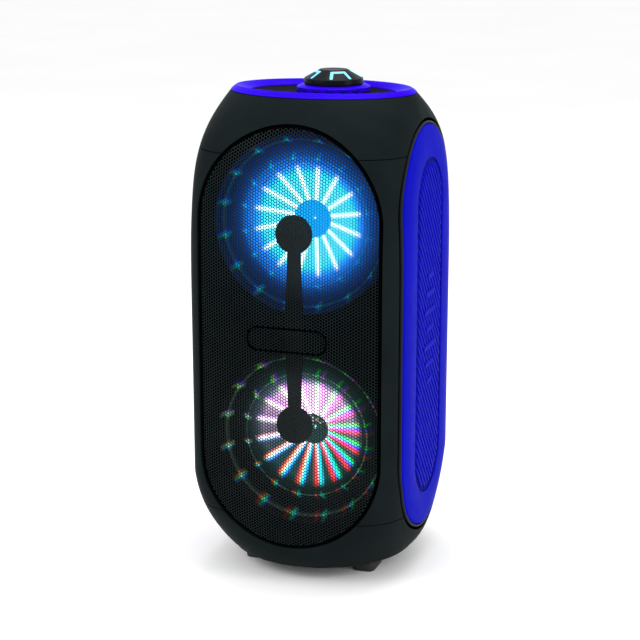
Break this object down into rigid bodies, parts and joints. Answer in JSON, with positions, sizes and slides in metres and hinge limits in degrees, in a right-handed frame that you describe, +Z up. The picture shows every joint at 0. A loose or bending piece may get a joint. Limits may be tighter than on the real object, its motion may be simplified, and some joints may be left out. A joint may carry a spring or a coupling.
{
  "type": "party speaker",
  "caption": "Upright portable party speaker with woofers behind a tall stadium grille, blue side panels, a lit top knob and a rear socket plate.",
  "frame": {"origin": "on the floor, under the centre of the cabinet's bounding box", "axes": "+Z up, the grille faces -Y, +X is the speaker's right as a listener in front sees it"},
  "size_m": [0.3052, 0.3064, 0.68],
  "materials": {
    "shell_plastic": "satin charcoal-black moulded plastic",
    "trim_plastic": "matt black plastic",
    "grille_steel": "black powder coat over perforated steel",
    "blue_plastic": "satin blue plastic",
    "ring_plastic": "semi-gloss violet-blue plastic",
    "key_plastic": "semi-gloss dark blue plastic",
    "knob_plastic": "satin black plastic",
    "light_cyan": "lit diffuser, cyan",
    "light_mixed": "lit diffuser, changing colours",
    "cone_paper": "pale grey pressed cone",
    "foot_rubber": "black rubber",
    "steel": "zinc-plated steel",
    "ferrite": "dark grey ceramic",
    "circuit_board": "green circuit board",
    "battery_wrap": "blue shrink wrap"
  },
  "bodies": {
    "cabinet": {"top_shell": "shell_plastic", "mid_shell": "shell_plastic", "bottom_shell": "shell_plastic", "front_baffle": "trim_plastic", "front_grille": "grille_steel", "badge_frame": "grille_steel", "grille_brace": "trim_plastic", "brace_pillar": "trim_plastic", "left_trim_ring": "trim_plastic", "right_trim_ring": "trim_plastic", "left_side_panel": "blue_plastic", "right_side_panel": "blue_plastic", "left_ribbed_insert": "blue_plastic", "right_ribbed_insert": "blue_plastic", "top_ring": "ring_plastic", "control_deck": "trim_plastic", "knob_base": "ring_plastic", "knob_encoder": "steel", "rear_plate": "trim_plastic", "dc_inlet": "knob_plastic", "aux_jack": "knob_plastic", "mic_jack_1": "knob_plastic", "mic_jack_2": "knob_plastic", "usb_socket": "steel", "bass_port": "trim_plastic", "amplifier_board": "circuit_board", "battery_pack": "battery_wrap", "foot_front_left": "foot_rubber", "foot_front_right": "foot_rubber", "foot_rear_left": "foot_rubber", "foot_rear_right": "foot_rubber", "upper_woofer_basket": "steel", "upper_woofer_surround": "foot_rubber", "upper_magnet": "ferrite", "upper_waveguide": "trim_plastic", "upper_led_ring": "light_cyan", "lower_woofer_basket": "steel", "lower_woofer_surround": "foot_rubber", "lower_magnet": "ferrite", "lower_waveguide": "trim_plastic", "lower_led_ring": "light_mixed"},
    "knob": {"knob": "knob_plastic", "knob_cap": "knob_plastic", "knob_light_guide": "light_cyan"},
    "power_rocker": {"power_rocker": "knob_plastic"},
    "upper_cone": {"upper_woofer_cone": "cone_paper", "upper_dust_cap": "cone_paper", "upper_voice_coil": "steel"},
    "lower_cone": {"lower_woofer_cone": "cone_paper", "lower_dust_cap": "cone_paper", "lower_voice_coil": "steel"},
    "push_key_1": {"push_key_1": "key_plastic"},
    "push_key_2": {"push_key_2": "key_plastic"},
    "push_key_3": {"push_key_3": "key_plastic"},
    "push_key_4": {"push_key_4": "key_plastic"},
    "push_key_5": {"push_key_5": "key_plastic"},
    "push_key_6": {"push_key_6": "key_plastic"}
  },
  "joints": [
    {"name": "knob_turn", "type": "hinge", "parent": "cabinet", "child": "knob", "pos_m": [0.0088, 0.017, 0.661], "axis": [0, 0, 1], "continuous": true},
    {"name": "key_1_press", "type": "slide", "parent": "cabinet", "child": "push_key_1", "axis": [0.8192, 0.5736, 0], "range_m": [0, 0.001], "stiffness_N_per_m": 400},
    {"name": "key_2_press", "type": "slide", "parent": "cabinet", "child": "push_key_2", "axis": [0.5446, 0.8387, 0], "range_m": [0, 0.001], "stiffness_N_per_m": 400},
    {"name": "key_3_press", "type": "slide", "parent": "cabinet", "child": "push_key_3", "axis": [0.1908, 0.9816, 0], "range_m": [0, 0.001], "stiffness_N_per_m": 400},
    {"name": "key_4_press", "type": "slide", "parent": "cabinet", "child": "push_key_4", "axis": [-0.1908, 0.9816, 0], "range_m": [0, 0.001], "stiffness_N_per_m": 400},
    {"name": "key_5_press", "type": "slide", "parent": "cabinet", "child": "push_key_5", "axis": [-0.5446, 0.8387, 0], "range_m": [0, 0.001], "stiffness_N_per_m": 400},
    {"name": "key_6_press", "type": "slide", "parent": "cabinet", "child": "push_key_6", "axis": [-0.8192, 0.5736, 0], "range_m": [0, 0.001], "stiffness_N_per_m": 400},
    {"name": "power_rocker_tilt", "type": "hinge", "parent": "cabinet", "child": "power_rocker", "pos_m": [-0.035, 0.1482, 0.43], "axis": [1, 0, 0], "range_deg": [-8, 8]},
    {"name": "upper_cone_travel", "type": "slide", "parent": "cabinet", "child": "upper_cone", "axis": [0, -1, 0], "range_m": [-0.003, 0.003], "stiffness_N_per_m": 1200},
    {"name": "lower_cone_travel", "type": "slide", "parent": "cabinet", "child": "lower_cone", "axis": [0, -1, 0], "range_m": [-0.003, 0.003], "stiffness_N_per_m": 1200}
  ]
}
